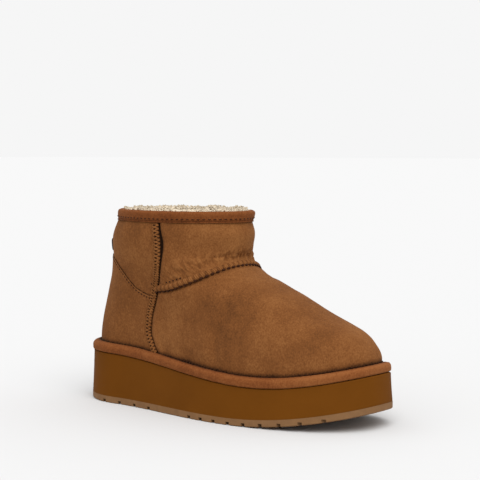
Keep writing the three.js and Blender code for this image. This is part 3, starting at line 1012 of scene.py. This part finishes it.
def make_side_seams():
    z = np.linspace(44.0, 147.0, 420)
    for inner, name in ((False, "side_seam_outer"), (True, "side_seam_inner")):
        points, normal, _ = skin().frame(*skin().locate(seam_x(z), z, inner))
        made = raised_strip(name + "_strip", points, normal, SIDE_SEAM_SIZE, whipped)
        finish_piece(made, "suede", "trim_suede", name)


def seam_columns(z, past):
    """The columns on the outer and the inner side that lie past the side seams at a height."""
    return (skin().locate(seam_x(z) + past, z, inner)[0][0] for inner in (False, True))


def rise_to(u, wanted):
    """The rows at which the skin's columns pass a line that is given as a height for each x."""
    grid = skin().grid(u, FINE_ROWS)
    over = grid[:, :, 2] - wanted(grid[:, :, 0])
    return crossing(over.T, np.zeros(len(u))) * ROW_STEP


def instep_line(count, lift=0.0):
    """Columns and rows of the instep seam's line, from the outer side seam to the inner one."""
    z = float(instep_z(seam_x(93.0)))
    u = np.linspace(*seam_columns(z, 2.5), count)
    return u, rise_to(u, lambda x: instep_z(x) + lift)


def make_instep_seam():
    points, normal, _ = skin().frame(*instep_line(460, lift=2.3))
    sunk = points - normal * (1.2 * roll_front(np.linspace(0, 1, 460)))[:, None]
    made = raised_strip("instep_roll", sunk, normal, ROLL_SIZE, puckers)
    finish_piece(made, "suede", "trim_suede", "instep_seam")


def ring_copy(node, rows):
    """A CAD ring body's own rings, carried onto a smooth closed body of more rings and columns."""
    grid = read_rows(node)
    across = weights(grid.shape[1], np.arange(480) * grid.shape[1] / 480, True)
    down = weights(grid.shape[0], np.arange(rows) * grid.shape[0] / rows, True)
    return np.tensordot(down, np.tensordot(across, grid, (1, 1)), (1, 1))


def relaxed(points, passes):
    """A ring body's points after some passes of smoothing round its section."""
    for _ in range(passes):
        points = (np.roll(points, 1, 0) + 2 * points + np.roll(points, -1, 0)) / 4
    return points


def make_binding():
    """The binding is folded over the collar's edge, with a pressed line above its lower edge."""
    points = relaxed(ring_copy("collar_binding", 84), 40)
    out = skin().frame(COLUMNS, np.full(len(COLUMNS), 17.0))[1]
    outer = np.arange(84)[:, None] <= np.argmin(points[..., 2], axis=0)
    over = points[..., 2] - points[..., 2].min(axis=0)
    line = bell(over, 1.4, 0.5) * outer
    swell = smooth(2.0, 6.5, over) * (1 - smooth(7.2, 9.0, over)) - 0.6 * (1 - smooth(0.0, 3.0, over))
    points = points + out * (1.0 * swell * outer - 0.4 * line)[..., None]
    # Painted shade in the pressed line, and a painted shadow along the binding's lower edge
    tone = -0.5 * line - 0.5 * bell(over, 0.0, 0.7)
    here = np.argmin(np.abs(over - 2.7) + 100 * ~outer, axis=0)
    MADE["binding_line"] = (points[here, np.arange(480)], out)
    made = ring_piece("collar_binding_strip", points, tone)
    finish_piece(made, "trim", "trim_suede", "collar_binding")


def make_welt():
    """The welt is a strip rolled round a cord, painted dark with shade where it meets the upper."""
    points = ring_copy("welt", 64)
    points[..., 0] -= WELT_TOE_IN * smooth(95, 130, points[..., 0])
    points = relaxed(points, 20)
    wall = np.linalg.norm(points[..., :2] - points[..., :2].mean(axis=(0, 1)), axis=2)
    reach = (wall - wall.min(axis=0)) / (wall.max(axis=0) - wall.min(axis=0))
    high = (points[..., 2] - points[..., 2].min(axis=0)) / np.ptp(points[..., 2], axis=0)
    # Painted highlight on the welt's rounded top, and painted shade where it meets the upper
    tone = 0.2 * smooth(0.5, 1.0, high) * smooth(0.6, 0.9, reach) - (1 - smooth(0.25, 0.62, reach))
    # Painted light towards the toe, which faces the lamp
    tone += 0.3 * smooth(40, 125, points[..., 0])
    fuzz = 0.2 * lumps(points, (1.7, 1.0))
    points = points + unit(points - points.mean(axis=0)) * fuzz[..., None]
    made = ring_piece("rolled_welt", points, tone)
    finish_piece(made, "trim", "trim_suede", "welt")


def make_lining():
    """The fleece lining stands on the inner wall, from the footbed to a crest over the collar."""
    face = Surface(upper_rows()[1])
    depth = bpy.context.scene.boot_sizes.pile_depth / MM
    rows = np.linspace(0.6, face.last, 100)
    wall, outwards, _ = face.frame(np.arange(400) * RING / 400, rows, face.grid)
    share = np.linspace(0, 1, len(rows))[:, None]
    thick = depth + 3.5 * smooth(0.72, 0.93, share) - 3.0 * smooth(0.95, 1.0, share)
    pile = wall - outwards * thick[..., None]
    pile = pile - outwards * (1.3 * lumps(pile, (6.0, 1.0), (2.6, 0.5)))[..., None]
    crest = ((6.6, 1.5), (4.4, 2.4), (2.2, 1.7))
    crest = np.array([wall[-1] - outwards[-1] * inwards + (0, 0, rise) for inwards, rise in crest])
    crest[..., 2] += 1.2 * lumps(crest, (7.0, 1.0), (3.0, 0.5))
    back = wall[::-3] - outwards[::-3]
    made = ring_piece("fleece_lining", np.concatenate([pile, crest, back]))
    finish_piece(made, "fleece", "fleece", "collar_fleece")


def fine_rings(rings, columns, rows):
    """Rings carried onto more columns, and onto the rows given as numbered places between the rings."""
    across = weights(RING, np.arange(columns) * RING / columns, True)
    wide = np.tensordot(across, rings, (1, 1)).swapaxes(0, 1)
    rows = np.asarray(rows, float)
    i = np.minimum(rows.astype(int), len(rings) - 2)
    t = (rows - i)[:, None, None]
    return wide[i] * (1 - t) + wide[i + 1] * t


def make_midsole():
    rings = read_rows("midsole", capped=True)
    # The foam is cemented down to the outsole, with no gap between them
    rings[3] = rings[2] * (0.9985, 0.9985, 1.0)
    rings[3, :, 2] -= 1.2
    rows = (0, 0.5, 1, 1.012, 1.03, *np.linspace(1.1, 1.9, 9), 1.97, 2, 2.9, 3)
    points = fine_rings(rings, SOLE_COLUMNS, rows)
    hollow = 0.35 * np.sin(np.pi * np.linspace(0, 1, len(rows)))[:, None]
    away = unit((points - points.mean(axis=(0, 1))) * np.array([1.0, 1.0, 0.0]))
    made = ladder_piece("foam_platform", points - away * hollow[..., None])
    finish_piece(made, "foam", "midsole_foam", "midsole")


# The outsole's sizes, in millimetres
OUTSOLE_THICKNESS = 5.4
OUTSOLE_EDGE = 0.7
TOE_SPRING = 13.5
TOE_SPRING_START = 169.0
HEEL_BEVEL = 1.6
HEEL_BEVEL_LENGTH = 33.0
GROOVE_WIDTH = 3.2
GROOVE_DEPTH = 2.6
GROOVE_REACH = 13.0
HEEL_GROOVE_START = 34.5
HEEL_GROOVE_PITCH = 17.4
HEEL_GROOVES = 4
FORE_GROOVE_START = 135.3
FORE_GROOVE_PITCH = 12.6
FORE_GROOVE_GROWTH = 1.035
FORE_GROOVES = 9


def toe_rise(x):
    """How far the sole springs off the floor towards the toe."""
    past = x + SOLE_LENGTH / 2 - TOE_SPRING_START
    return TOE_SPRING * np.clip(past / (SOLE_LENGTH - TOE_SPRING_START), 0, 1) ** 2


def tread_height(x):
    """Where the underside of the outsole stands, from the bevelled heel to the sprung toe."""
    bevel = np.clip(1 - (x + SOLE_LENGTH / 2) / HEEL_BEVEL_LENGTH, 0, 1)
    return toe_rise(x) + HEEL_BEVEL * bevel**2


def groove_places():
    heel = [HEEL_GROOVE_START + i * HEEL_GROOVE_PITCH for i in range(HEEL_GROOVES)]
    fore = [FORE_GROOVE_START]
    for i in range(FORE_GROOVES - 1):
        fore.append(fore[-1] + FORE_GROOVE_PITCH * FORE_GROOVE_GROWTH**i)
    return np.array(heel + fore) - SOLE_LENGTH / 2


def cut_away(obj, cutter):
    """Cuts one body out of another, and removes the cutter."""
    modifier = obj.modifiers.new("cut", "BOOLEAN")
    modifier.operation = "DIFFERENCE"
    modifier.object = cutter
    alone(obj)
    bpy.ops.object.modifier_apply(modifier=modifier.name)
    bpy.data.objects.remove(cutter)


def cutter_boxes(boxes):
    """One body of many boxes, each given by its middle, its size and its turn about Z."""
    made = []
    for place, size, turn in boxes:
        bpy.ops.object.select_all(action="DESELECT")
        spot = Vector(place) * MM
        bpy.ops.mesh.primitive_cube_add(size=1.0, location=spot, rotation=(0, 0, turn))
        bpy.context.object.scale = Vector(size) * MM
        made.append(bpy.context.object)
    for obj in made:
        obj.select_set(True)
    bpy.context.view_layer.objects.active = made[0]
    bpy.ops.object.join()
    bpy.ops.object.transform_apply(location=True, rotation=True, scale=True)
    return bpy.context.object


def make_outsole():
    outline = read_rows("midsole", capped=True)[2]
    under = tread_height(outline[:, 0])
    across = unit(np.roll(outline, -1, 0)[:, :2] - np.roll(outline, 1, 0)[:, :2])
    top, edge, inset = outline.copy(), outline.copy(), outline.copy()
    inset[:, 0] -= across[:, 1] * OUTSOLE_EDGE
    inset[:, 1] += across[:, 0] * OUTSOLE_EDGE
    top[:, 2] = OUTSOLE_THICKNESS + toe_rise(outline[:, 0])
    edge[:, 2] = under + OUTSOLE_EDGE
    inset[:, 2] = under
    rings = fine_rings([top, edge, inset], SOLE_COLUMNS, (0, 0.08, 0.92, 1, 2))
    made = ladder_piece("rubber_outsole", rings)
    fine = weights(RING, np.arange(SOLE_COLUMNS) * RING / SOLE_COLUMNS, True) @ outline
    half = SOLE_COLUMNS // 2
    size = (GROOVE_WIDTH, 2 * GROOVE_REACH, 2 * GROOVE_DEPTH)
    boxes = []
    for x in groove_places():
        for side in (fine[: half + 1], fine[half:]):
            y = side[np.argmin(np.abs(side[:, 0] - x)), 1]
            boxes.append(((x, y, tread_height(x)), size, 0.0))
    # Fine tread between the lugs
    for x in np.arange(-116, 100, 6.3):
        wide = 17.0 + 9.0 * float(smooth(-60, 30, x)) - 12.0 * float(smooth(60, 110, x))
        for sign in (-1, 1):
            place = (x, sign * wide / 2 + 2.0, tread_height(x))
            boxes.append((place, (2.2, wide - 2.0, 1.6), sign * 0.5))
    cut_away(made, cutter_boxes(boxes))
    alone(made)
    finish_piece(made, "rubber", "outsole_rubber", "outsole")
    bpy.ops.object.shade_smooth_by_angle(angle=math.radians(35))


def make_footbed():
    """The footbed is built in slices from heel to toe, with a woolly top."""
    top, bottom = fine_rings(read_rows("insole", capped=True), 480, (0, 1))
    outer, inner = np.arange(1, 240), np.arange(479, 240, -1)

    def slices(ring, share):
        share = share[None, :, None]
        return ring[outer][:, None] * (1 - share) + ring[inner][:, None] * share

    over, under = slices(top, np.linspace(0, 1, 60)), slices(bottom, np.linspace(1, 0, 6))
    over[..., 2] += lumps(over, (7.0, 1.0), (3.0, 0.6))
    made = strip_piece("fleece_footbed", np.concatenate([over, under], axis=1))
    finish_piece(made, "fleece", "fleece", "insole")


def make_tab():
    """The plain dark tab across the back of the heel."""
    face = skin()
    low, high = (np.array(corner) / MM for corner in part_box("back_tab"))
    across, down = np.meshgrid(np.linspace(-1, 1, 61), np.linspace(-1, 1, 31))
    heights = face.grid([0.0], FINE_ROWS)[:, 0, 2]
    middle, half = (high + low) / 2, (high - low) / 2
    v = np.interp(middle[2] + down.ravel() * half[2], heights, FINE_ROWS)
    columns = np.linspace(0, 12, 241)
    row = np.interp(middle[2], heights, FINE_ROWS)
    sides = np.abs(face.at(columns, np.full(len(columns), row))[:, 1])
    u = across.ravel() * np.interp(half[1] - 0.5, sides, columns)
    points, normal, _ = face.frame(u, v)
    swell = (1 - np.abs(across) ** 12) * (1 - np.abs(down) ** 5)
    placed = points + normal * (0.9 + 2.6 * np.sqrt(np.clip(swell, 0, 1))).reshape(-1, 1)
    made = sheet_piece("plain_back_tab", placed.reshape(*across.shape, 3), 2.4)
    finish_piece(made, "leather", "tab", "back_tab")


def stitch_row(name, line, lift, pitch, size, slot="trim_suede"):
    """A row of stitches over a line's points and normals, each of a length, width and height."""
    normals = line[1]
    points = line[0] + normals * lift
    run = lengths_along(points)
    at = np.arange(0.0, run[-1], pitch)
    centres, heading, out = (
        np.stack([np.interp(at, run, values[:, i]) for i in range(3)], axis=1)
        for values in (points, follow(points), normals)
    )
    finish_piece(copies(name, stitch_template(*size), centres, heading, out), "thread", slot)


def counter_line(below):
    """A line on the skin that keeps a distance under the counter's edge."""
    z = counter_z(seam_x(90.0)) - below
    start, end = seam_columns(z, -3.4)
    u = np.linspace(start, end - RING, 220)
    return skin().frame(u, rise_to(u, lambda x: counter_z(x) - below))


def make_stitches():
    face = skin()
    pitch = bpy.context.scene.boot_sizes.stitch_pitch / MM
    line = [wrap(values, 0) for values in MADE["binding_line"]]
    stitch_row("binding_stitches", line, 0.0, pitch, BINDING_STITCH)
    stitch_row("counter_stitches", counter_line(2.6), 0.75, COUNTER_PITCH, COUNTER_STITCH, "suede")
    share = np.linspace(0, 1, 400)
    lift = 0.6 - 1.2 * roll_front(share)[:, None]
    line = face.frame(*instep_line(400, lift=-0.4))
    stitch_row("instep_stitches", line, lift, ROLL_PITCH, INSTEP_STITCH)
    # Holes above the roll: dark blobs of thread colour that stand in for the shade inside the stitch
    # holes
    line = face.frame(*instep_line(400, lift=6.3))
    for part, side in ((share < 0.16, "outer"), (share > 0.84, "inner")):
        holes = [values[part] for values in line]
        stitch_row(f"junction_holes_{side}", holes, 0.4, HOLE_PITCH, HOLE)
    columns = np.linspace(0, RING, 700)
    rows = rise_to(columns, lambda x: welt_height(columns) + 0.5)
    stitch_row("welt_stitches", face.frame(columns, rows), 0.4, WELT_PITCH, WELT_STITCH)


def curl_template():
    """One small curl of wool: a soft lock, extruded upwards and bent over as it goes."""
    bpy.ops.object.select_all(action="DESELECT")
    bpy.ops.mesh.primitive_circle_add(vertices=5, radius=0.95 * MM, fill_type="NGON")
    made = bpy.context.object
    at = Vector((0.0, 0.0, 0.0))
    with editing(made):
        for rise, side, lean, thin in CURL_STEPS[1:]:
            step = (side * MM, 0, rise * MM)
            bpy.ops.mesh.extrude_region_move(TRANSFORM_OT_translate={"value": step})
            at += Vector(step)
            bpy.ops.transform.rotate(value=lean * 0.6, orient_axis="Y", center_override=at)
            bpy.ops.transform.resize(value=(thin, thin, thin), center_override=at)
    return made


def make_curls():
    """Curls of wool on the lining's crest and on the pile that shows inside the collar."""
    chance = random.Random(7)
    face = Surface(upper_rows()[1])
    columns, rows, depth = [], [], []
    for _ in range(CURLS):
        crest = chance.random() < 0.5
        columns.append(chance.uniform(0, RING))
        rows.append(face.last - (0.0 if crest else chance.uniform(0, 5.2)))
        depth.append(chance.uniform(1.2, 8.0) if crest else PILE_ROOTS)
    points, normal, up = face.frame(columns, rows)
    centres, heading, out, sizes = [], [], [], []
    for i, deep in enumerate(depth):
        crest = deep < PILE_ROOTS
        patch = lumps(points[i], (14.0, 1.0), (5.0, 0.5))
        lift = 1.0 - 0.07 * (deep - 4.0) ** 2 + 1.2 * patch if crest else 0.0
        centres.append(points[i] - normal[i] * deep + np.array([0, 0, lift]))
        rising = np.array([0, 0, 1.0]) if crest else -normal[i] + 0.5 * up[i]
        out.append(unit(rising + np.array([chance.gauss(0, 0.5) for _ in range(3)])))
        heading.append([chance.gauss(0, 1) for _ in range(3)])
        sizes.append(chance.uniform(0.75, 1.3))
    made = copies("fleece_curls", curl_template(), centres, np.cross(out, heading), out, sizes)
    finish_piece(made, "fleece", "fleece")


def make_floor():
    bpy.ops.object.select_all(action="DESELECT")
    bpy.ops.mesh.primitive_plane_add(size=60.0)
    floor = bpy.context.object
    floor.name = "floor"
    made = bpy.data.materials.new("pale floor")
    made.use_nodes = True
    shader = made.node_tree.nodes["Principled BSDF"]
    shader.inputs["Base Color"].default_value = FLOOR_COLOUR
    shader.inputs["Roughness"].default_value = 1.0
    shader.inputs["Specular IOR Level"].default_value = 0.0
    floor.data.materials.append(made)


def make_stage():
    scene = bpy.context.scene
    scene.view_settings.view_transform = "Standard"
    scene.view_settings.look = "None"
    world = bpy.data.worlds.new("studio")
    scene.world = world
    world.use_nodes = True
    background = world.node_tree.nodes["Background"]
    background.inputs["Color"].default_value = paint("#f6f6f6")
    background.inputs["Strength"].default_value = 1.0
    make_floor()
    sun = bpy.data.lights.new("key", "SUN")
    sun.energy = SUN_STRENGTH
    sun.angle = math.radians(SUN_SPREAD)
    lamp = add_object("key", sun)
    lamp.rotation_euler = Vector(SUN_FROM).to_track_quat("Z", "Y").to_euler()
    yaw, tilt = math.radians(CAMERA_YAW), math.radians(CAMERA_TILT)
    back = (math.sin(yaw) * math.cos(tilt), -math.cos(yaw) * math.cos(tilt), math.sin(tilt))
    camera = bpy.data.cameras.new("camera")
    camera.lens = CAMERA_LENS
    camera.sensor_width = 36.0
    camera.clip_end = 100
    view = add_object("camera", camera)
    view.location = Vector(CAMERA_PLACE) * MM
    view.rotation_mode = "QUATERNION"
    view.rotation_quaternion = Vector(back).to_track_quat("Z", "Y")
    scene.camera = view


class MakePiece:
    """What the operators share: a button in the sidebar that makes pieces of the boot."""

    bl_options = {"REGISTER", "UNDO"}


class BOOT_OT_stage(MakePiece, bpy.types.Operator):
    """Makes the floor, the studio light and the camera"""

    bl_idname = "boot.stage"
    bl_label = "Stage"

    def execute(self, context):
        make_stage()
        return {"FINISHED"}


class BOOT_OT_upper(MakePiece, bpy.types.Operator):
    """Makes the suede upper with its creases"""

    bl_idname = "boot.upper"
    bl_label = "Suede upper"

    def execute(self, context):
        make_upper()
        return {"FINISHED"}


class BOOT_OT_counter(MakePiece, bpy.types.Operator):
    """Makes the heel counter"""

    bl_idname = "boot.counter"
    bl_label = "Heel counter"

    def execute(self, context):
        make_counter()
        return {"FINISHED"}


class BOOT_OT_seams(MakePiece, bpy.types.Operator):
    """Makes the raised side seams and the instep roll"""

    bl_idname = "boot.seams"
    bl_label = "Seams"

    def execute(self, context):
        make_side_seams()
        make_instep_seam()
        return {"FINISHED"}


class BOOT_OT_trim(MakePiece, bpy.types.Operator):
    """Makes the collar binding and the welt"""

    bl_idname = "boot.trim"
    bl_label = "Binding and welt"

    def execute(self, context):
        make_binding()
        make_welt()
        return {"FINISHED"}


class BOOT_OT_fleece(MakePiece, bpy.types.Operator):
    """Makes the fleece lining, the footbed and the curls"""

    bl_idname = "boot.fleece"
    bl_label = "Fleece"

    def execute(self, context):
        make_lining()
        make_footbed()
        make_curls()
        return {"FINISHED"}


class BOOT_OT_sole(MakePiece, bpy.types.Operator):
    """Makes the platform and the outsole"""

    bl_idname = "boot.sole"
    bl_label = "Sole"

    def execute(self, context):
        make_midsole()
        make_outsole()
        return {"FINISHED"}


class BOOT_OT_tab(MakePiece, bpy.types.Operator):
    """Makes the plain tab at the back of the heel"""

    bl_idname = "boot.tab"
    bl_label = "Back tab"

    def execute(self, context):
        make_tab()
        return {"FINISHED"}


class BOOT_OT_stitches(MakePiece, bpy.types.Operator):
    """Makes the rows of stitches and holes"""

    bl_idname = "boot.stitches"
    bl_label = "Stitches"

    def execute(self, context):
        make_stitches()
        return {"FINISHED"}


class BOOT_PT_panel(bpy.types.Panel):
    """Lists the sizes, colours and pieces of the boot."""

    bl_label = "Sheepskin boot"
    bl_idname = "BOOT_PT_panel"
    bl_space_type = "VIEW_3D"
    bl_region_type = "UI"
    bl_category = "Boot"

    def draw(self, context):
        for group in (context.scene.boot_sizes, context.scene.boot_colours):
            for name in group.bl_rna.properties.keys():
                if name not in ("rna_type", "name"):
                    self.layout.prop(group, name)
        for operator in OPERATORS:
            self.layout.operator(operator.bl_idname)


OPERATORS = (
    BOOT_OT_stage,
    BOOT_OT_upper,
    BOOT_OT_counter,
    BOOT_OT_seams,
    BOOT_OT_trim,
    BOOT_OT_fleece,
    BOOT_OT_sole,
    BOOT_OT_tab,
    BOOT_OT_stitches,
)
CLASSES = (BootSizes, BootColours, *OPERATORS, BOOT_PT_panel)


def register():
    for item in CLASSES:
        bpy.utils.register_class(item)
    bpy.types.Scene.boot_sizes = bpy.props.PointerProperty(type=BootSizes)
    bpy.types.Scene.boot_colours = bpy.props.PointerProperty(type=BootColours)


def unregister():
    del bpy.types.Scene.boot_colours
    del bpy.types.Scene.boot_sizes
    for item in reversed(CLASSES):
        bpy.utils.unregister_class(item)


def main():
    register()
    bpy.ops.boot.stage()
    bpy.ops.boot.upper()
    bpy.ops.boot.counter()
    bpy.ops.boot.seams()
    bpy.ops.boot.trim()
    bpy.ops.boot.fleece()
    bpy.ops.boot.sole()
    bpy.ops.boot.tab()
    bpy.ops.boot.stitches()


if __name__ == "__main__":
    main()
